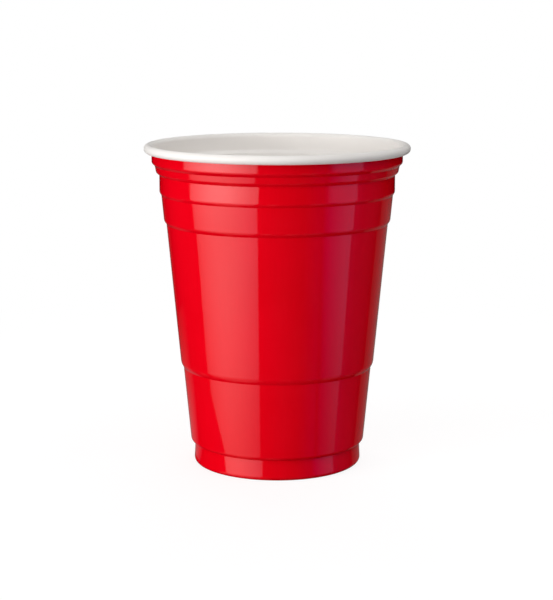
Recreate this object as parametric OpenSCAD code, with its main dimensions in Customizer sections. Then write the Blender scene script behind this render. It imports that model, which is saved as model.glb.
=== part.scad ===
// Disposable party cup, formed from one plastic sheet that is red outside and white inside.
// The sheet is drawn as one line, its outside face, from the middle of the floor to the rolled rim.

/* [Cup] */
// Height from the table to the top of the rim
height = 116; // [80:1:160]
// Diameter over the rolled rim
rim_d = 95; // [84:0.5:125]
// Diameter at the table, before the heel is rounded
base_d = 60.8; // [48:0.2:76]
// Thickness of the formed sheet
wall = 0.35; // [0.2:0.05:0.5]

/* [Rolled rim] */
// Diameter of the roll
roll_d = 3.1; // [2.6:0.1:4.4]
// Clearance between the tucked edge and the wall
roll_gap = 0.3; // [0.1:0.05:0.5]
// How far the edge turns up past the lowest point of the roll, in degrees
tuck_turn = 75; // [20:5:110]

/* [Lip band] */
// Height of the upright band from the middle of the roll to its lower corner
lip_h = 4.9; // [3.5:0.1:8]
// Step in under the lip band
lip_step = 1.1; // [0.5:0.05:1.8]
// Height of that step
lip_drop = 1.1; // [0.6:0.05:2]
// Radius of the lip band's lower corner
lip_round = 1.2; // [0.6:0.1:1.6]

/* [Collar band] */
// Height of the leaning band under the lip band
collar_h = 2.3; // [1.6:0.1:6]
// How far that band leans in over its height
collar_lean = 0.44; // [0.1:0.02:1]
// Step in under the collar band
collar_step = 1.15; // [0.5:0.05:2]
// Height of that step
collar_drop = 0.95; // [0.8:0.05:2.5]
// Radius of the collar band's lower corner
collar_round = 1; // [0.6:0.1:2]

/* [Grip band] */
// Height of the upright band under the collar
grip_h = 6.2; // [3:0.05:12]
// Step in under the grip band
grip_step = 0.65; // [0.3:0.05:1.4]
// Height of that step
grip_drop = 1; // [0.8:0.05:2.5]
// Radius of the grip band's lower corner
grip_round = 1.6; // [0.6:0.1:2.5]

/* [Shoulder band] */
// Height of the tapered band above the body
shoulder_h = 9.15; // [4:0.05:16]
// Step in under the shoulder band
shoulder_step = 0.85; // [0.3:0.05:1.6]
// Height of that step
shoulder_drop = 1.2; // [0.8:0.05:2.5]
// Radius of the shoulder band's lower corner
shoulder_round = 2; // [0.6:0.1:2.5]

/* [Body] */
// Step in under the body
body_step = 0.87; // [0.3:0.01:1.6]
// Height of that step
body_drop = 1.4; // [1:0.05:3.5]
// Radius of the body's lower corner, as far as the step under it has room
body_round = 4; // [0.6:0.1:12]

/* [Skirt] */
// Height of the tapered wall under the body
skirt_h = 27.3; // [14:0.1:36]
// Step in under the skirt
skirt_step = 1.5; // [0.9:0.05:2]
// Height of that step
skirt_drop = 0.6; // [0.3:0.05:1.6]
// Radius of the skirt's lower corner
skirt_round = 1.4; // [0.6:0.1:1.6]

/* [Foot] */
// Height of the foot ring
foot_h = 7.6; // [5:0.1:14]
// How much wider the foot ring is at the table than at its top
foot_flare = 0.4; // [0:0.05:1.2]
// Radius of the heel, where the foot ring meets the table
heel_round = 1.5; // [0.8:0.1:2.6]
// Width of the foot under the cup, from the heel's corner to the corner inside it
foot_w = 4.6; // [4:0.1:8]
// Radius of the corner inside the foot
foot_round = 0.8; // [0.6:0.1:1]

/* [Floor] */
// Height of the pushed-up floor above the table
floor_h = 3.2; // [2.4:0.1:5.5]
// How far the wall round the floor leans in as it rises
floor_lean = 0.9; // [0.3:0.1:2]
// Radius of the floor's edge
floor_round = 1; // [0.6:0.1:1.4]

/* [Steps] */
// Radius in the corner at the bottom of each step
step_fillet = 0.4; // [0.2:0.05:0.6]

/* [Hidden] */
$fn = 180;
// Angle between the points of a bend
bend_step = 9;
// Share of a step's length that the bends at its ends may take up
bend_share = 0.95;

// The wall's corners, from the roll down: each band's lower corner, then the foot of the step under it
lip_z = height - roll_d / 2;
lip_low_z = lip_z - lip_h;
collar_z = lip_low_z - lip_drop;
collar_low_z = collar_z - collar_h;
grip_z = collar_low_z - collar_drop;
grip_low_z = grip_z - grip_h;
shoulder_z = grip_low_z - grip_drop;
shoulder_low_z = shoulder_z - shoulder_h;
body_z = shoulder_low_z - shoulder_drop;
skirt_low_z = foot_h + skirt_drop;
skirt_z = skirt_low_z + skirt_h;
body_low_z = skirt_z + body_drop;

// One taper serves the shoulder, body and skirt, so that the wall meets both the rim and the base
base_r = base_d / 2;
lip_r = rim_d / 2 - roll_d + wall;
steps = lip_step + collar_step + grip_step + shoulder_step + body_step + skirt_step;
slanted_h = shoulder_h + (body_z - body_low_z) + skirt_h;
taper = (lip_r - steps - collar_lean + foot_flare - base_r) / slanted_h;

collar_r = lip_r - lip_step;
collar_low_r = collar_r - collar_lean;
grip_r = collar_low_r - collar_step;
shoulder_r = grip_r - grip_step;
shoulder_low_r = shoulder_r - taper * shoulder_h;
body_r = shoulder_low_r - shoulder_step;
body_low_r = body_r - taper * (body_z - body_low_z);
skirt_r = body_low_r - body_step;
skirt_low_r = skirt_r - taper * skirt_h;
foot_r = skirt_low_r - skirt_step;
foot_in_r = base_r - foot_w;
floor_r = foot_in_r - floor_lean;

// The body's lower corner and the corner under it share the length of the step
body_turn = atan(body_step / body_drop) - atan(taper);
body_room = bend_share * norm([body_step, body_drop]) / tan(body_turn / 2);
body_bend = min(body_round, body_room - step_fillet);

// The outside line of the sheet: radius, height and bend of each corner
corners = [
    [0, floor_h, 0],
    [floor_r, floor_h, floor_round],
    [foot_in_r, 0, foot_round],
    [base_r, 0, heel_round],
    [foot_r, foot_h, step_fillet],
    [skirt_low_r, skirt_low_z, skirt_round],
    [skirt_r, skirt_z, step_fillet],
    [body_low_r, body_low_z, body_bend],
    [body_r, body_z, step_fillet],
    [shoulder_low_r, shoulder_low_z, shoulder_round],
    [shoulder_r, shoulder_z, step_fillet],
    [grip_r, grip_low_z, grip_round],
    [grip_r, grip_z, step_fillet],
    [collar_low_r, collar_low_z, collar_round],
    [collar_r, collar_z, step_fillet],
    [lip_r, lip_low_z, lip_round],
    [lip_r, lip_z, 0],
];
last = len(corners) - 1;

// The roll turns outwards from the top of the wall, and its edge is tucked up behind it
roll_r = roll_d / 2;
roll_at = [rim_d / 2 - roll_r, lip_z];
tuck_r = roll_r - wall - roll_gap;
tuck_at = roll_at - [0, roll_r - tuck_r];

function unit(v) = v / norm(v);
function left_of(v) = [-v.y, v.x];
function toward(angle) = [cos(angle), sin(angle)];
function point(i) = [corners[i].x, corners[i].y];
function heading(i) = unit(point(i + 1) - point(i));
// Angle that the outside line turns through at a corner, positive to the left
function turn(i) = atan2(cross(heading(i - 1), heading(i)), heading(i - 1) * heading(i));

// Points along an arc of the sheet: its outside line has the given radius, its other face lies off it
function arc(centre, radius, start, sweep, off) =
    let (count = max(2, ceil(abs(sweep) / bend_step)))
    [for (k = [0 : count]) centre + (radius + off) * toward(start + sweep * k / count)];

// The bend at one corner of the outside line, moved to the left by the offset
function bend(i, off) =
    let (
        side = sign(turn(i)),
        radius = corners[i][2],
        setback = radius * tan(abs(turn(i)) / 2),
        out = -left_of(heading(i - 1)) * side,
        centre = point(i) - heading(i - 1) * setback - out * radius
    )
    arc(centre, radius, atan2(out.y, out.x), turn(i), -side * off);

// The whole wall's line from the floor's middle to the roll, moved to the left by the offset
function wall_line(off) = [
    point(0) + [0, off],
    for (i = [1 : last - 1]) each bend(i, off),
    point(last) - [off, 0],
];

// The roll's line from the top of the wall to the tucked edge, moved to the left by the offset
function roll_line(off) = concat(
    arc(roll_at, roll_r - wall, 180, -270, off),
    after_first(arc(tuck_at, tuck_r - wall, -90, -tuck_turn, off))
);

function after_first(list) = [for (i = [1 : len(list) - 1]) list[i]];
function reversed(list) = [for (i = [len(list) - 1 : -1 : 0]) list[i]];

// Everything within the sheet's outside face, up to where the roll starts
module outside() {
    rotate_extrude() polygon(concat(wall_line(0), [[0, lip_z]]));
}

// The hollow that the sheet's inside face bounds, run on past the top so that the mouth is open
module inside() {
    top_z = lip_z + roll_r;
    rotate_extrude() polygon(concat(wall_line(wall), [[lip_r - wall, top_z], [0, top_z]]));
}

module rolled_rim() {
    rotate_extrude() polygon(concat(roll_line(0), reversed(roll_line(wall))));
}

module cup() {
    difference() {
        color("#d4101c") outside();
        color("#f1eee8") inside();
    }
    color("#f1eee8") rolled_rim();
}

cup();
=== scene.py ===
"""A disposable party cup, formed from one plastic sheet, in a plain white studio."""

import logging
import math
from collections.abc import Iterable
from dataclasses import dataclass, field
from enum import Enum

import bpy
import numpy as np
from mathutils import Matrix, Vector


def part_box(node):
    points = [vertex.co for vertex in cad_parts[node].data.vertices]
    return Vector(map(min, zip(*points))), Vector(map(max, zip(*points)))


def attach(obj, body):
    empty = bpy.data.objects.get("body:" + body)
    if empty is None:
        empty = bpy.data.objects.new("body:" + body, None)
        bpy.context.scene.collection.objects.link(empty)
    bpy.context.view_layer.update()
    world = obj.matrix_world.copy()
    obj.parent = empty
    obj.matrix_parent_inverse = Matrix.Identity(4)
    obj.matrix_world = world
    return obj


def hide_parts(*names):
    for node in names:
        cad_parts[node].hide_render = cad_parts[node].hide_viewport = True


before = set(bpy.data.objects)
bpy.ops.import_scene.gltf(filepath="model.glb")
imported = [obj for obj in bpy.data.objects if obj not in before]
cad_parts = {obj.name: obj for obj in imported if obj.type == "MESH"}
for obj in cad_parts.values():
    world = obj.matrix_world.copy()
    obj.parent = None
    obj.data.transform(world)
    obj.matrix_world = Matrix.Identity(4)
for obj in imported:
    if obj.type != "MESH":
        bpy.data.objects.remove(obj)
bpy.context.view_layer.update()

MM = 0.001
# The name of the cup's bake map
BAKE_MAP = "OFBake"
# Sockets of a Mix node by number, because those for numbers and for colours share their names
NUMBER_A, NUMBER_B, NUMBER_OUT = 2, 3, 0
COLOUR_A, COLOUR_B, COLOUR_OUT = 6, 7, 2
# Distance in millimetres below which two points of a section are the same
SAME_POINT = 1e-6

Colour = tuple[float, float, float]
# Sizes along x, y and z
Sizes = tuple[float, float, float]
# A low and a high value
Span = tuple[float, float]

log = logging.getLogger("cup")


class SheetFace(Enum):
    """The two faces of the sheet, in the order of the cup's material slots."""

    RED = 0
    WHITE = 1


class SeenBy(Enum):
    """Which rays meet a thing of the studio: all but those of gloss, or those alone."""

    CAMERA = "camera"
    GLOSS = "gloss"


class Nodes:
    """Adds and joins the nodes of one material or world."""

    def __init__(self, tree: bpy.types.NodeTree) -> None:
        """Starts from an empty tree."""
        self.tree = tree
        tree.nodes.clear()

    def add(self, kind: str, values: dict | None = None, **settings: object) -> bpy.types.Node:
        """Adds one node.

        Args:
            kind: The node's type, as Blender names it.
            values: Input sockets, by name or number, and their values.
            **settings: The node's own properties.

        Returns:
            The new node.
        """
        node = self.tree.nodes.new(kind)
        for name, value in settings.items():
            setattr(node, name, value)
        for socket, value in (values or {}).items():
            node.inputs[socket].default_value = value
        return node

    def join(self, source: bpy.types.NodeSocket, target: bpy.types.NodeSocket) -> None:
        """Links an output to an input."""
        self.tree.links.new(source, target)

    def math(self, operation: str, first: bpy.types.NodeSocket | float,
             second: bpy.types.NodeSocket | float) -> bpy.types.NodeSocket:
        """Adds a Math node.

        Args:
            operation: The operation, as Blender names it.
            first: A socket or a number.
            second: A socket or a number.

        Returns:
            The node's output.
        """
        node = self.add("ShaderNodeMath", operation=operation)
        for target, value in zip(node.inputs, (first, second)):
            if isinstance(value, bpy.types.NodeSocket):
                self.join(value, target)
            else:
                target.default_value = value
        return node.outputs[0]

    def spread(self, value: bpy.types.NodeSocket, low: float, high: float,
               to_low: float = 0.0, to_high: float = 1.0) -> bpy.types.NodeSocket:
        """Spreads a range of values smoothly over another.

        Args:
            value: The values.
            low: The value that becomes to_low.
            high: The value that becomes to_high.
            to_low: The new range's start.
            to_high: The new range's end.

        Returns:
            The spread values.
        """
        node = self.add("ShaderNodeMapRange", {1: low, 2: high, 3: to_low, 4: to_high},
                        interpolation_type="SMOOTHSTEP")
        self.join(value, node.inputs[0])
        return node.outputs[0]

    def ramp(self, value: bpy.types.NodeSocket,
             stops: Iterable[tuple[float, Colour]]) -> bpy.types.NodeSocket:
        """Adds a colour ramp.

        Args:
            value: Where on the ramp to look, from 0 to 1.
            stops: The place and colour of each stop, in order.

        Returns:
            The colour.
        """
        node = self.add("ShaderNodeValToRGB")
        elements = node.color_ramp.elements
        for number, (share, colour) in enumerate(stops):
            element = elements[number] if number < len(elements) else elements.new(share)
            element.position = share
            element.color = (*colour, 1.0)
        self.join(value, node.inputs[0])
        return node.outputs[0]

    def noise(self, coords: bpy.types.NodeSocket, size: Sizes, detail: float = 2.0,
              roughness: float = 0.5) -> bpy.types.NodeSocket:
        """Adds a noise whose features have about the given size.

        Args:
            coords: The coordinates, in metres.
            size: The features' size along each axis, in millimetres.
            detail: How many finer layers it has.
            roughness: How strong those are.

        Returns:
            The noise, about 0.5 on average.
        """
        mapping = self.add("ShaderNodeMapping")
        mapping.inputs["Scale"].default_value = [1.0 / (MM * s) for s in size]
        self.join(coords, mapping.inputs["Vector"])
        noise = self.add("ShaderNodeTexNoise", {"Scale": 1.0, "Detail": detail, "Roughness": roughness})
        self.join(mapping.outputs[0], noise.inputs["Vector"])
        return noise.outputs[0]

    def mix(self, share: bpy.types.NodeSocket, first: bpy.types.Node,
            second: bpy.types.Node) -> bpy.types.Node:
        """Mixes two shaders.

        Args:
            share: How much of the second shows.
            first: The first shader.
            second: The second shader.

        Returns:
            The mix.
        """
        mixed = self.add("ShaderNodeMixShader")
        for source, target in zip((share, first.outputs[0], second.outputs[0]), mixed.inputs):
            self.join(source, target)
        return mixed


@dataclass(frozen=True)
class MouldedPlastic:
    """The finish of one face of the sheet.

    The pigment drifts a little over the face, fine streaks run the way the sheet was drawn, and the
    corners that rub in a stack are a little duller and paler. Sizes are millimetres.
    """

    name: str
    deep: Colour
    bright: Colour
    rubbed: Colour
    gloss: Span
    rub_dulls: float
    ior: float
    shine: float
    peel_size: float
    peel_rise: float
    wave_rise: float
    streaks: float
    drift_size: float = 26.0
    streak_size: Sizes = (0.9, 0.9, 30.0)
    streak_detail: float = 3.0
    shade_span: Span = (0.36, 0.64)
    spot_size: Sizes = (5.0, 5.0, 2.0)
    spot_span: Span = (0.42, 0.68)
    haze_size: Sizes = (7.0, 7.0, 20.0)
    haze_span: Span = (0.3, 0.7)
    fine_detail: float = 4.0
    fine_strength: float = 0.6
    wave_size: Sizes = (17.0, 17.0, 26.0)
    wave_detail: float = 0.0
    peel_detail: float = 1.0

    def material(self) -> bpy.types.Material:
        """Makes the finish.

        Returns:
            A new material.
        """
        made = bpy.data.materials.new(self.name)
        made.use_nodes = True
        nodes = Nodes(made.node_tree)
        coords = nodes.add("ShaderNodeTexCoord").outputs["Object"]
        levels = {"IOR": self.ior, "Specular IOR Level": self.shine}
        shader = nodes.add("ShaderNodeBsdfPrincipled", levels)
        rub = self._rub(nodes, coords)
        nodes.join(self._colour(nodes, coords, rub), shader.inputs["Base Color"])
        nodes.join(self._roughness(nodes, coords, rub), shader.inputs["Roughness"])
        nodes.join(self._relief(nodes, coords), shader.inputs["Normal"])
        end = nodes.add("ShaderNodeOutputMaterial")
        nodes.join(shader.outputs[0], end.inputs["Surface"])
        made.diffuse_color = (*self.bright, 1.0)
        return made

    def _rub(self, nodes: Nodes, coords: bpy.types.NodeSocket) -> bpy.types.NodeSocket:
        """Says how rubbed the face is.

        Args:
            nodes: The material's nodes.
            coords: The object's coordinates.

        Returns:
            0 where it is new, up to 1 on worn spots of the corners.
        """
        corner = nodes.add("ShaderNodeAttribute", attribute_name="rub").outputs["Fac"]
        noise = nodes.noise(coords, self.spot_size, self.fine_detail, self.fine_strength)
        return nodes.math("MULTIPLY", corner, nodes.spread(noise, *self.spot_span))

    def _colour(self, nodes: Nodes, coords: bpy.types.NodeSocket,
                rub: bpy.types.NodeSocket) -> bpy.types.NodeSocket:
        """Mixes the pigment.

        Args:
            nodes: The material's nodes.
            coords: The object's coordinates.
            rub: How rubbed the face is.

        Returns:
            The colour.
        """
        drift = nodes.noise(coords, (self.drift_size,) * 3)
        streak = nodes.noise(coords, self.streak_size, self.streak_detail)
        both = nodes.add("ShaderNodeMix", {0: self.streaks})
        nodes.join(drift, both.inputs[NUMBER_A])
        nodes.join(streak, both.inputs[NUMBER_B])
        shade = nodes.spread(both.outputs[NUMBER_OUT], *self.shade_span)
        ends = {COLOUR_A: (*self.deep, 1.0), COLOUR_B: (*self.bright, 1.0)}
        pigment = nodes.add("ShaderNodeMix", ends, data_type="RGBA")
        nodes.join(shade, pigment.inputs[0])
        worn = nodes.add("ShaderNodeMix", {COLOUR_B: (*self.rubbed, 1.0)}, data_type="RGBA")
        nodes.join(rub, worn.inputs[0])
        nodes.join(pigment.outputs[COLOUR_OUT], worn.inputs[COLOUR_A])
        return worn.outputs[COLOUR_OUT]

    def _roughness(self, nodes: Nodes, coords: bpy.types.NodeSocket,
                   rub: bpy.types.NodeSocket) -> bpy.types.NodeSocket:
        """Gives the gloss, with faint streaks and duller corners.

        Args:
            nodes: The material's nodes.
            coords: The object's coordinates.
            rub: How rubbed the face is.

        Returns:
            The roughness.
        """
        noise = nodes.noise(coords, self.haze_size, self.fine_detail, self.fine_strength)
        haze = nodes.spread(noise, *self.haze_span, *self.gloss)
        return nodes.math("ADD", haze, nodes.math("MULTIPLY", rub, self.rub_dulls))

    def _relief(self, nodes: Nodes, coords: bpy.types.NodeSocket) -> bpy.types.NodeSocket:
        """Gives the fine peel of the skin and the slow waves of a thin wall.

        Args:
            nodes: The material's nodes.
            coords: The object's coordinates.

        Returns:
            The bumped normal.
        """
        waves = nodes.add("ShaderNodeBump", {"Strength": 1.0, "Distance": self.wave_rise * MM})
        nodes.join(nodes.noise(coords, self.wave_size, self.wave_detail), waves.inputs["Height"])
        peel = nodes.add("ShaderNodeBump", {"Strength": 1.0, "Distance": self.peel_rise * MM})
        skin = nodes.noise(coords, (self.peel_size,) * 3, self.peel_detail)
        nodes.join(skin, peel.inputs["Height"])
        nodes.join(waves.outputs[0], peel.inputs["Normal"])
        return peel.outputs[0]


RED_GLOSS = MouldedPlastic(
    name="red_gloss",
    deep=(0.842, 0.0001, 0.0074),
    bright=(0.876, 0.0002, 0.0090),
    rubbed=(0.882, 0.0066, 0.0158),
    gloss=(0.055, 0.095),
    rub_dulls=0.10,
    ior=1.59,
    shine=0.5,
    peel_size=1.1,
    peel_rise=0.0010,
    wave_rise=0.020,
    streaks=0.3,
)
WHITE_SATIN = MouldedPlastic(
    name="white_satin",
    deep=(0.952, 0.918, 0.884),
    bright=(0.962, 0.929, 0.896),
    rubbed=(0.956, 0.922, 0.888),
    gloss=(0.285, 0.32),
    rub_dulls=0.04,
    ior=1.49,
    shine=0.35,
    peel_size=0.9,
    peel_rise=0.0006,
    wave_rise=0.008,
    streaks=0.04,
)


@dataclass
class SheetLine:
    """Points along one face of the sheet in its section, in millimetres.

    Each point has its radius and height, the way its face looks, and how much its corner rubs.
    """

    places: list[np.ndarray] = field(default_factory=list)
    looks: list[np.ndarray] = field(default_factory=list)
    rubs: list[float] = field(default_factory=list)

    def add(self, place: np.ndarray, look: np.ndarray, rub: float = 0.0) -> None:
        """Adds a point.

        Args:
            place: Its radius and height.
            look: The way its face looks.
            rub: How much its corner rubs.
        """
        self.places.append(place)
        self.looks.append(look)
        self.rubs.append(rub)

    def extend(self, other: "SheetLine") -> None:
        """Adds another line's points."""
        for point in zip(other.places, other.looks, other.rubs):
            self.add(*point)

    def backwards(self) -> "SheetLine":
        """Gives the same points from the last to the first."""
        return SheetLine(self.places[::-1], self.looks[::-1], self.rubs[::-1])


@dataclass(frozen=True)
class Turn:
    """A bend of the sheet: the arc that its outside line takes about a centre, angles in radians."""

    centre: np.ndarray
    radius: float
    start: float
    sweep: float
    rub: float = 0.0

    def points(self, off: float, step: float) -> SheetLine:
        """Lays points along the bend.

        Args:
            off: How far to the left of the outside line the points lie.
            step: The most that the line turns from point to point.

        Returns:
            The points. They look to the right of the line, or to its left where off isn't 0.
        """
        line = SheetLine()
        side = math.copysign(1.0, self.sweep)
        count = max(2, math.ceil(abs(self.sweep) / step))
        for k in range(count + 1):
            left = left_of(self.start + self.sweep * k / count)
            crest = self.rub * math.sin(math.pi * k / count)
            line.add(self.centre + left * (off - side * self.radius), left if off else -left, crest)
        return line


def left_of(heading: float) -> np.ndarray:
    """Gives the unit vector to the left of a heading."""
    return np.array((-math.sin(heading), math.cos(heading)))


@dataclass(frozen=True)
class Band:
    """One band of the wall and the step in under it, in millimetres.

    The lean is how far the band leans in over its height, or None where it follows the wall's taper.
    """

    name: str
    tall: float
    lean: float | None
    step: float
    drop: float
    corner: float


@dataclass
class Cup:
    """The cup: one formed sheet, red outside and white inside, its edge rolled into the rim.

    Sizes are millimetres, as in the part's source.
    """

    height: float = 116.0
    rim_d: float = 95.0
    base_d: float = 60.8
    wall: float = 0.35
    roll_d: float = 3.1
    roll_gap: float = 0.3
    tuck_turn: float = 75.0
    foot_flare: float = 0.4
    heel_round: float = 1.5
    foot_w: float = 4.6
    foot_round: float = 0.8
    floor_h: float = 3.2
    floor_lean: float = 0.9
    floor_round: float = 1.0
    step_fillet: float = 0.4
    bands: tuple[Band, ...] = (
        Band("lip", 4.9, 0.0, 1.1, 1.1, 1.2),
        Band("collar", 2.3, 0.44, 1.15, 0.95, 1.0),
        Band("grip", 6.2, 0.0, 0.65, 1.0, 1.6),
        Band("shoulder", 9.15, None, 0.85, 1.2, 2.0),
        Band("body", 50.75, None, 0.87, 1.4, 4.0),
        Band("skirt", 27.3, None, 1.5, 0.6, 1.4),
    )
    corner_rub: float = 1.0
    roll_rub: float = 0.6
    bend_step: float = math.radians(6.0)
    edge_step: float = math.radians(45.0)
    longest_run: float = 4.5
    segments: int = 192

    @property
    def lip_r(self) -> float:
        """Radius of the outside line at the top of the wall."""
        return self.rim_d / 2 - self.roll_d + self.wall

    @property
    def lip_z(self) -> float:
        """Height of the middle of the roll."""
        return self.height - self.roll_d / 2

    def taper(self) -> float:
        """Works out the slant that lets the wall meet both the rim and the base.

        Returns:
            The slant, as a slope.
        """
        slanted = sum(band.tall for band in self.bands if band.lean is None)
        steps = sum(band.step + (band.lean or 0.0) for band in self.bands)
        return (self.lip_r - steps + self.foot_flare - self.base_d / 2) / slanted

    def corners(self) -> list[tuple[float, float, float]]:
        """Finds the corners of the outside line.

        Returns:
            Radius, height and bend of each, from the floor's middle to the top of the wall.
        """
        taper = self.taper()
        r, z = self.lip_r, self.lip_z
        wall = [(r, z, 0.0)]
        for band in self.bands:
            r -= taper * band.tall if band.lean is None else band.lean
            z -= band.tall
            wall.append((r, z, band.corner))
            r -= band.step
            z -= band.drop
            wall.append((r, z, self.step_fillet))
        base_r = self.base_d / 2
        foot_in_r = base_r - self.foot_w
        under = [
            (0.0, self.floor_h, 0.0),
            (foot_in_r - self.floor_lean, self.floor_h, self.floor_round),
            (foot_in_r, 0.0, self.foot_round),
            (base_r, 0.0, self.heel_round),
        ]
        return under + wall[::-1]

    def turns(self) -> list[Turn]:
        """Finds the bends of the wall, the roll and the tucked edge.

        Returns:
            The bends in order. Corners that stand out of the wall rub in a stack.
        """
        corners = self.corners()
        spots = [np.array(corner[:2]) for corner in corners]
        ways = [math.atan2(*(b - a)[::-1]) for a, b in zip(spots[:-1], spots[1:])]
        found = []
        for i in range(1, len(corners) - 1):
            bend = corners[i][2]
            sweep = ways[i] - ways[i - 1]
            back = bend * math.tan(abs(sweep) / 2)
            along = np.array((math.cos(ways[i - 1]), math.sin(ways[i - 1])))
            centre = spots[i] - along * back + left_of(ways[i - 1]) * math.copysign(bend, sweep)
            rub = self.corner_rub if sweep > 0 else 0.0
            found.append(Turn(centre, bend, ways[i - 1], sweep, rub))
        return found + self.roll()

    def roll(self) -> list[Turn]:
        """Finds the rolled rim's two bends.

        Returns:
            The roll, and the edge tucked up behind it.
        """
        roll_r = self.roll_d / 2
        roll_at = np.array((self.rim_d / 2 - roll_r, self.lip_z))
        tuck_r = roll_r - self.wall - self.roll_gap
        tuck_at = roll_at - np.array((0.0, roll_r - tuck_r))
        over = Turn(roll_at, roll_r - self.wall, math.radians(90), -math.radians(270), self.roll_rub)
        tuck = Turn(tuck_at, tuck_r - self.wall, -math.radians(180), -math.radians(self.tuck_turn))
        return [over, tuck]

    def face_line(self, off: float) -> SheetLine:
        """Lays points along one face, from the floor's middle to the tucked edge.

        Args:
            off: 0 for the red face, the wall's thickness for the white one.

        Returns:
            The points.
        """
        line = SheetLine()
        up = np.array((0.0, 1.0))
        line.add(np.array((0.0, self.floor_h + off)), up if off else -up)
        for turn in self.turns():
            bend = turn.points(off, self.bend_step)
            start, end = line.places[-1], bend.places[0]
            run = float(np.linalg.norm(end - start))
            for k in range(1, math.ceil(run / self.longest_run)):
                share = k * self.longest_run / run
                line.add(start + (end - start) * share, bend.looks[0])
            if run < SAME_POINT:
                bend = SheetLine(bend.places[1:], bend.looks[1:], bend.rubs[1:])
            line.extend(bend)
        return line

    def section(self) -> tuple[SheetLine, int]:
        """Draws the whole section, round the sheet's edge from face to face.

        Returns:
            The points, and the number of the first one on the white face.
        """
        red = self.face_line(0.0)
        white = self.face_line(self.wall)
        last = self.turns()[-1]
        edge_at = (red.places[-1] + white.places[-1]) / 2
        edge_turn = Turn(edge_at, self.wall / 2, last.start + last.sweep, math.pi)
        edge = edge_turn.points(0.0, self.edge_step)
        first_white = len(red.places)
        red.extend(SheetLine(edge.places[1:-1], edge.looks[1:-1], edge.rubs[1:-1]))
        red.extend(white.backwards())
        return red, first_white

    def build(self) -> bpy.types.Object:
        """Turns the section about the cup's axis.

        Returns:
            The cup, one closed mesh with its own normals and bake map.
        """
        line, first_white = self.section()
        ring = np.arange(self.segments) * (2 * math.pi / self.segments)
        around = np.stack((np.cos(ring), np.sin(ring)), 1)
        count = len(line.places)

        def turned(pair: np.ndarray) -> np.ndarray:
            """Carries one section vector round the axis."""
            return np.column_stack((around * pair[0], np.full(self.segments, pair[1])))

        inner = range(1, count - 1)
        places = [turned(line.places[i]) for i in inner]
        looks = [turned(line.looks[i]) for i in inner]
        poles = [(0.0, 0.0, line.places[i][1]) for i in (0, -1)]
        pole_looks = [(0.0, 0.0, line.looks[i][1]) for i in (0, -1)]
        verts = np.concatenate(places + [np.array(poles)]) * MM
        normals = np.concatenate(looks + [np.array(pole_looks)])
        rubs = np.concatenate((np.repeat(line.rubs[1:-1], self.segments), (0.0, 0.0)))
        faces, finishes, maps = self._faces(line, first_white)

        mesh = bpy.data.meshes.new("cup_sheet")
        mesh.from_pydata(verts.tolist(), [], faces)
        mesh.polygons.foreach_set("material_index", finishes)
        mesh.polygons.foreach_set("use_smooth", [True] * len(faces))
        mesh.uv_layers.new(name=BAKE_MAP).uv.foreach_set("vector", np.array(maps, np.float32).ravel())
        mesh.attributes.new("rub", "FLOAT", "POINT").data.foreach_set("value", rubs.astype(np.float32))
        mesh.update()
        mesh.normals_split_custom_set_from_vertices(normals.tolist())
        made = bpy.data.objects.new("cup_sheet", mesh)
        bpy.context.scene.collection.objects.link(made)
        return made

    def _faces(self, line: SheetLine, first_white: int) -> tuple[list, list[int], list]:
        """Joins the rings of points.

        Args:
            line: The section.
            first_white: The number of its first point on the white face.

        Returns:
            The faces, each one's finish, and each corner's place on the bake map.
        """
        count = len(line.places)
        steps = [float(np.linalg.norm(b - a)) for a, b in zip(line.places[:-1], line.places[1:])]
        along = np.concatenate(((0.0,), np.cumsum(steps))) / sum(steps)
        turns = self.segments
        red_pole, white_pole = (count - 2) * turns, (count - 2) * turns + 1
        faces, finishes, maps = [], [], []
        for i in range(count - 1):
            face = SheetFace.RED if i < first_white else SheetFace.WHITE
            low, high = (i - 1) * turns, i * turns
            for k in range(turns):
                after = (k + 1) % turns
                u, v = k / turns, (k + 1) / turns
                if i == 0:
                    faces.append((red_pole, high + after, high + k))
                    maps += [((u + v) / 2, along[0]), (v, along[1]), (u, along[1])]
                elif i == count - 2:
                    faces.append((low + k, low + after, white_pole))
                    maps += [(u, along[i]), (v, along[i]), ((u + v) / 2, along[i + 1])]
                else:
                    faces.append((low + k, low + after, high + after, high + k))
                    maps += [(u, along[i]), (v, along[i]), (v, along[i + 1]), (u, along[i + 1])]
                finishes.append(face.value)
        return faces, finishes, maps

    def dress(self, made: bpy.types.Object) -> None:
        """Gives the cup its two finishes and its place in the frame.

        Args:
            made: The built cup.
        """
        for finish in (RED_GLOSS, WHITE_SATIN):
            made.data.materials.append(finish.material())
        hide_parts("cup")
        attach(made, "root")
        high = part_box("cup")[1]
        drawn = [max(v.co[axis] for v in made.data.vertices) for axis in range(3)]
        off = max(abs(a - b) for a, b in zip(drawn, high)) / MM
        log.info("cup_sheet: %d faces, within %.3f mm of the CAD box", len(made.data.polygons), off)
        log.info("cup_sheet: its bands are %s", ", ".join(band.name for band in self.bands))


def show_to(made: bpy.types.Object, seen: SeenBy) -> None:
    """Lets only some rays meet a thing of the studio.

    Args:
        made: The thing.
        seen: The rays that meet it.
    """
    made.visible_camera = seen is SeenBy.CAMERA
    made.visible_diffuse = seen is SeenBy.CAMERA
    made.visible_shadow = seen is SeenBy.CAMERA
    made.visible_glossy = seen is SeenBy.GLOSS
    made.visible_transmission = False
    made.visible_volume_scatter = False


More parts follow.
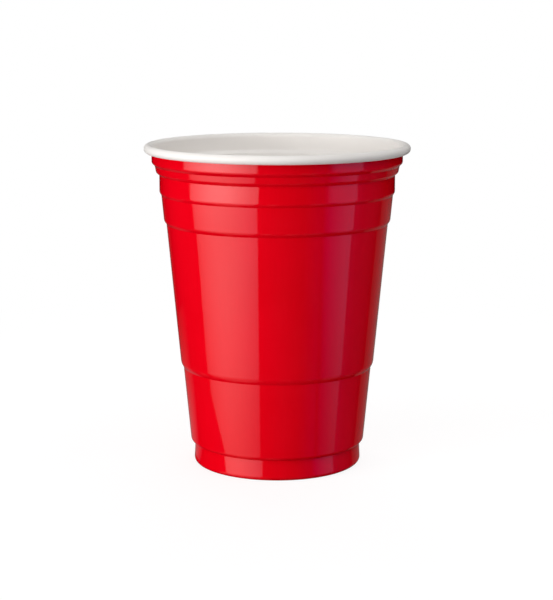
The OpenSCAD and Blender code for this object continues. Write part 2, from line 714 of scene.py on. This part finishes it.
@dataclass(frozen=True)
class Card:
    """A card that only the gloss shows, bent round the cup's axis between two rims.

    Each rim has a radius and a height in metres, and the angles at which the card starts and ends there,
    in degrees from the viewer's side and positive to the viewer's right. The glow gives the level at
    shares of the way from the first rim to the second, and the tints the colour at shares of the way
    from start to end.
    """

    name: str
    rims: tuple[tuple[float, float], tuple[float, float]]
    starts: tuple[float, float]
    ends: tuple[float, float]
    glow: tuple[tuple[float, float], ...]
    tints: tuple[tuple[float, Colour], ...]
    columns: int = 40

    def build(self) -> bpy.types.Object:
        """Makes the card.

        Returns:
            The card, which no camera sees.
        """
        verts, faces, maps = [], [], []
        for k in range(self.columns + 1):
            share = k / self.columns
            for (away, up), start, end in zip(self.rims, self.starts, self.ends):
                angle = math.radians(start + (end - start) * share)
                verts.append((away * math.sin(angle), -away * math.cos(angle), up))
        for k in range(self.columns):
            faces.append((2 * k, 2 * k + 2, 2 * k + 3, 2 * k + 1))
            u, v = k / self.columns, (k + 1) / self.columns
            maps += [(u, 0.0), (v, 0.0), (v, 1.0), (u, 1.0)]
        mesh = bpy.data.meshes.new(self.name)
        mesh.from_pydata(verts, [], faces)
        mesh.uv_layers.new(name="card").uv.foreach_set("vector", np.array(maps, np.float32).ravel())
        mesh.materials.append(self.material())
        made = bpy.data.objects.new(self.name, mesh)
        bpy.context.scene.collection.objects.link(made)
        show_to(made, SeenBy.GLOSS)
        log.info("%s: from %g to %g degrees", self.name, self.starts[0], self.ends[0])
        return made

    def material(self) -> bpy.types.Material:
        """Makes the card's light.

        Returns:
            A new material.
        """
        made = bpy.data.materials.new(self.name)
        made.use_nodes = True
        made.cycles.emission_sampling = "NONE"
        nodes = Nodes(made.node_tree)
        place = nodes.add("ShaderNodeSeparateXYZ")
        nodes.join(nodes.add("ShaderNodeTexCoord").outputs["UV"], place.inputs[0])
        peak = max(level for _, level in self.glow)
        shades = [(share, (level / peak,) * 3) for share, level in self.glow]
        level = nodes.math("MULTIPLY", nodes.ramp(place.outputs[1], shades), peak)
        light = nodes.add("ShaderNodeEmission")
        nodes.join(nodes.ramp(place.outputs[0], self.tints), light.inputs["Color"])
        nodes.join(level, light.inputs["Strength"])
        end = nodes.add("ShaderNodeOutputMaterial")
        nodes.join(light.outputs[0], end.inputs["Surface"])
        return made


@dataclass(frozen=True)
class TableTop:
    """The white floor, which keeps a faint shadow of the cup and throws some light back.

    It is open under the foot, where the cup hides it, so that the cup's underside isn't black from
    below. Sizes are metres.
    """

    inner: float = 0.0285
    radius: float = 0.7
    bounce: float = 0.52
    pale: float = 0.18
    lift: float = 0.86
    fade_from: float = 0.10
    fade_to: float = 0.32
    corners: int = 96

    def build(self) -> bpy.types.Object:
        """Makes the floor.

        Returns:
            A flat ring that the camera sees only from above.
        """
        turn = 2 * math.pi / self.corners
        rims = [(r * math.cos(turn * k), r * math.sin(turn * k), 0.0)
                for r in (self.inner, self.radius) for k in range(self.corners)]
        faces = []
        for k in range(self.corners):
            after = (k + 1) % self.corners
            faces.append((k, self.corners + k, self.corners + after, after))
        mesh = bpy.data.meshes.new("table_top")
        mesh.from_pydata(rims, [], faces)
        mesh.materials.append(self.material())
        made = bpy.data.objects.new("table_top", mesh)
        bpy.context.scene.collection.objects.link(made)
        show_to(made, SeenBy.CAMERA)
        log.info("table_top: a white floor %g m across", 2 * self.radius)
        return made

    def material(self) -> bpy.types.Material:
        """Makes the floor's white.

        Returns:
            A new material, plain white away from the cup and clear from below.
        """
        made = bpy.data.materials.new("table_top")
        made.use_nodes = True
        made.cycles.emission_sampling = "NONE"
        nodes = Nodes(made.node_tree)
        diffuse = nodes.add("ShaderNodeBsdfDiffuse", {"Color": (self.pale,) * 3 + (1.0,)})
        lift = nodes.add("ShaderNodeEmission", {"Strength": self.lift})
        near = nodes.add("ShaderNodeAddShader")
        nodes.join(diffuse.outputs[0], near.inputs[0])
        nodes.join(lift.outputs[0], near.inputs[1])
        away = nodes.add("ShaderNodeVectorMath", operation="LENGTH")
        nodes.join(nodes.add("ShaderNodeTexCoord").outputs["Object"], away.inputs[0])
        fade = nodes.spread(away.outputs["Value"], self.fade_from, self.fade_to)
        above = nodes.mix(fade, near, nodes.add("ShaderNodeEmission"))
        back = nodes.add("ShaderNodeNewGeometry").outputs["Backfacing"]
        shown = nodes.mix(back, above, nodes.add("ShaderNodeBsdfTransparent"))
        dim = nodes.add("ShaderNodeBsdfDiffuse", {"Color": (self.bounce,) * 3 + (1.0,)})
        camera = nodes.add("ShaderNodeLightPath").outputs["Is Camera Ray"]
        both = nodes.mix(camera, dim, shown)
        end = nodes.add("ShaderNodeOutputMaterial")
        nodes.join(both.outputs[0], end.inputs["Surface"])
        return made


@dataclass(frozen=True)
class SoftLamp:
    """A soft lamp aimed at the middle of the cup; angles in degrees, sizes in metres."""

    name: str
    around: float
    above: float
    away: float
    width: float
    tall: float
    power: float
    aim: float = 0.06

    def build(self) -> bpy.types.Object:
        """Makes the lamp.

        Returns:
            An area lamp that lights but isn't seen.
        """
        turn, rise = math.radians(self.around), math.radians(self.above)
        way = Vector((math.sin(turn) * math.cos(rise), -math.cos(turn) * math.cos(rise), math.sin(rise)))
        lamp = bpy.data.lights.new(self.name, "AREA")
        lamp.shape = "RECTANGLE"
        lamp.size, lamp.size_y = self.width, self.tall
        lamp.energy = self.power
        made = bpy.data.objects.new(self.name, lamp)
        made.location = Vector((0.0, 0.0, self.aim)) + way * self.away
        made.rotation_euler = way.to_track_quat("Z", "Y").to_euler()
        made.visible_camera = False
        made.visible_glossy = False
        bpy.context.scene.collection.objects.link(made)
        log.info("%s: %g W", self.name, self.power)
        return made


# A card's even glow from rim to rim, the tint of a black card, and the ends of one that goes all round
EVEN = ((0.0, 1.0), (1.0, 1.0))
BLACK = ((0.0, (0.0, 0.0, 0.0)), (1.0, (0.0, 0.0, 0.0)))
ALL_ROUND = ((-180.0, -180.0), (180.0, 180.0))


@dataclass
class Studio:
    """The plain white studio: floor, soft light, and the cards that the gloss shows.

    The fill is the level of the surroundings. A black tent stands round the other cards, because the
    cup's gloss shows dark surroundings between the lit panels.
    """

    fill: float = 0.05
    table: TableTop = TableTop()
    # Each lamp's place round the cup and above it, its distance, its width and height, and its watts
    lamps: tuple[SoftLamp, ...] = (
        SoftLamp("key", -61.0, 5.0, 0.9, 0.5, 0.22, 5.4),
        SoftLamp("front", -12.0, 47.0, 0.9, 1.3, 0.8, 4.6),
        SoftLamp("right", 80.0, 52.0, 0.9, 1.0, 0.8, 2.65),
        SoftLamp("back", 180.0, 36.0, 0.9, 1.2, 0.8, 5.4),
        SoftLamp("under", 0.0, -90.0, 0.5, 0.3, 0.3, 0.8),
    )
    cards: tuple[Card, ...] = (
        Card("left_high_card", ((0.5, 0.0), (0.5, 0.25)), (-89.4, -89.0), (-18.0, -13.0), (
            (0.0, 2.40),
            (0.19, 3.08),
            (0.40, 3.40),
            (1.0, 3.60),
        ), (
            (0.0, (0.30, 0.30, 0.30)),
            (0.08, (0.45, 0.45, 0.45)),
            (0.22, (0.69, 0.69, 0.68)),
            (0.36, (0.92, 0.92, 0.90)),
            (0.49, (1.0, 1.0, 0.98)),
            (0.63, (0.91, 0.91, 0.90)),
            (0.78, (0.66, 0.66, 0.66)),
            (0.91, (0.46, 0.46, 0.48)),
            (1.0, (0.36, 0.36, 0.38)),
        )),
        Card("left_low_card", ((0.5, -0.9), (0.5, 0.0)), (-91.0, -89.4), (-36.0, -18.0), (
            (0.0, 0.18),
            (0.447, 0.32),
            (0.664, 0.48),
            (0.77, 0.73),
            (0.84, 1.12),
            (0.907, 1.46),
            (0.938, 1.50),
            (1.0, 2.30),
        ), (
            (0.0, (0.32, 0.32, 0.32)),
            (0.08, (0.51, 0.51, 0.51)),
            (0.22, (0.77, 0.77, 0.77)),
            (0.36, (0.96, 0.96, 0.96)),
            (0.49, (1.0, 1.0, 1.0)),
            (0.63, (0.93, 0.93, 0.95)),
            (0.78, (0.77, 0.77, 0.84)),
            (0.91, (0.58, 0.58, 0.68)),
            (1.0, (0.43, 0.43, 0.54)),
        )),
        Card("right_card", ((0.5, 0.0), (0.5, 0.25)), (41.0, 41.0), (79.8, 82.0), EVEN, (
            (0.0, (0.0, 0.0, 0.0)),
            (0.14, (0.05, 0.01, 0.16)),
            (0.23, (0.20, 0.13, 0.46)),
            (0.30, (0.24, 0.19, 0.57)),
            (0.55, (0.28, 0.26, 0.63)),
            (1.0, (0.31, 0.30, 0.66)),
        )),
        Card("right_low_card", ((0.5, -0.36), (0.5, 0.0)), (57.0, 40.0), (82.0, 80.0), (
            (0.0, 0.28),
            (0.43, 0.46),
            (0.61, 0.70),
            (0.72, 0.90),
            (0.83, 1.0),
            (1.0, 1.0),
        ), (
            (0.0, (0.0, 0.0, 0.0)),
            (0.10, (0.03, 0.0, 0.14)),
            (0.22, (0.11, 0.02, 0.34)),
            (0.50, (0.20, 0.13, 0.52)),
            (0.76, (0.27, 0.25, 0.62)),
            (1.0, (0.30, 0.29, 0.66)),
        )),
        Card("back_card", ((0.6, -0.40), (0.6, 0.03)), (112.0, 112.0), (215.0, 215.0), (
            (0.0, 1.0),
            (0.90, 1.0),
            (1.0, 0.0),
        ), (
            (0.0, (0.0, 0.0, 0.0)),
            (0.13, (0.05, 0.05, 0.05)),
            (0.33, (0.12, 0.115, 0.11)),
            (0.51, (0.17, 0.165, 0.15)),
            (0.66, (0.14, 0.14, 0.13)),
            (0.80, (0.05, 0.05, 0.05)),
            (1.0, (0.0, 0.0, 0.0)),
        )),
        Card("right_haze", ((0.55, -0.42), (0.55, 0.27)), (26.0, 26.0), (124.0, 124.0), EVEN, (
            (0.0, (0.0, 0.0, 0.0)),
            (0.11, (0.0, 0.0, 0.06)),
            (0.20, (0.02, 0.0, 0.12)),
            (0.58, (0.04, 0.02, 0.15)),
            (0.66, (0.02, 0.01, 0.08)),
            (0.80, (0.01, 0.01, 0.05)),
            (1.0, (0.0, 0.0, 0.0)),
        )),
        # A glowing fan on the floor by the cup's foot, seen only in the gloss: a painted pool of light
        # that stands in for the lit floor, fading away from the cup.
        Card("near_card", ((0.034, 0.0), (0.25, 0.0)), (-200.0, -200.0), (-80.0, -119.0), (
            (0.0, 0.24),
            (0.14, 0.21),
            (0.40, 0.125),
            (0.75, 0.05),
            (1.0, 0.02),
        ), (
            (0.0, (0.0, 0.0, 0.0)),
            (0.22, (1.0, 0.98, 0.92)),
            (0.62, (1.0, 0.98, 0.94)),
            (0.76, (0.88, 0.86, 0.88)),
            (0.86, (0.78, 0.76, 0.82)),
            (0.92, (0.60, 0.58, 0.68)),
            (0.96, (0.34, 0.32, 0.46)),
            (1.0, (0.12, 0.10, 0.25)),
        )),
        Card("low_flag", ((0.065, -0.012), (0.065, 0.020)), (-95.0, -95.0), (-54.5, -71.5), EVEN, BLACK),
        Card("dark_tent_top", ((0.8, 0.0), (0.001, 4.0)), *ALL_ROUND, EVEN, BLACK),
        Card("dark_tent_low", ((0.8, 0.0), (0.001, -4.0)), *ALL_ROUND, EVEN, BLACK),
    )

    def build(self) -> None:
        """Sets up the studio."""
        self.table.build()
        for thing in (*self.lamps, *self.cards):
            thing.build()
        self.sky()
        bpy.context.scene.view_settings.view_transform = "Standard"

    def sky(self) -> None:
        """Makes the world a low fill, and white where the camera, gloss or clear things show it."""
        world = bpy.data.worlds.new("studio")
        world.use_nodes = True
        bpy.context.scene.world = world
        nodes = Nodes(world.node_tree)
        path = nodes.add("ShaderNodeLightPath")
        seen = nodes.math("MAXIMUM", path.outputs["Is Camera Ray"], path.outputs["Is Glossy Ray"])
        shown = nodes.math("MAXIMUM", seen, path.outputs["Is Transmission Ray"])
        level = nodes.math("MAXIMUM", shown, self.fill)
        light = nodes.add("ShaderNodeBackground")
        nodes.join(level, light.inputs["Strength"])
        light.inputs["Color"].default_value = (1.0, 1.0, 1.0, 1.0)
        end = nodes.add("ShaderNodeOutputWorld")
        nodes.join(light.outputs[0], end.inputs["Surface"])


@dataclass(frozen=True)
class PhotoCamera:
    """The camera at the photograph's viewing angle; place in metres, tilt in radians."""

    place: tuple[float, float, float] = (-0.00025, -0.59714, 0.16926)
    tilt_down: float = 0.1822
    lens: float = 100.51
    sensor: float = 36.0
    nearest: float = 0.01
    farthest: float = 50.0

    def build(self) -> bpy.types.Object:
        """Makes the camera and puts it in use.

        Returns:
            The camera.
        """
        lens = bpy.data.cameras.new("photo_camera")
        lens.lens, lens.sensor_width = self.lens, self.sensor
        lens.clip_start, lens.clip_end = self.nearest, self.farthest
        made = bpy.data.objects.new("photo_camera", lens)
        made.location = self.place
        made.rotation_euler = (math.pi / 2 - self.tilt_down, 0.0, 0.0)
        bpy.context.scene.collection.objects.link(made)
        bpy.context.scene.camera = made
        log.info("photo_camera: %g mm lens", self.lens)
        return made


def main() -> None:
    """Builds the camera, the studio and the cup, in that order."""
    logging.basicConfig(level=logging.INFO, format="%(name)s: %(message)s")
    PhotoCamera().build()
    Studio().build()
    cup = Cup()
    cup.dress(cup.build())


if __name__ == "__main__":
    main()
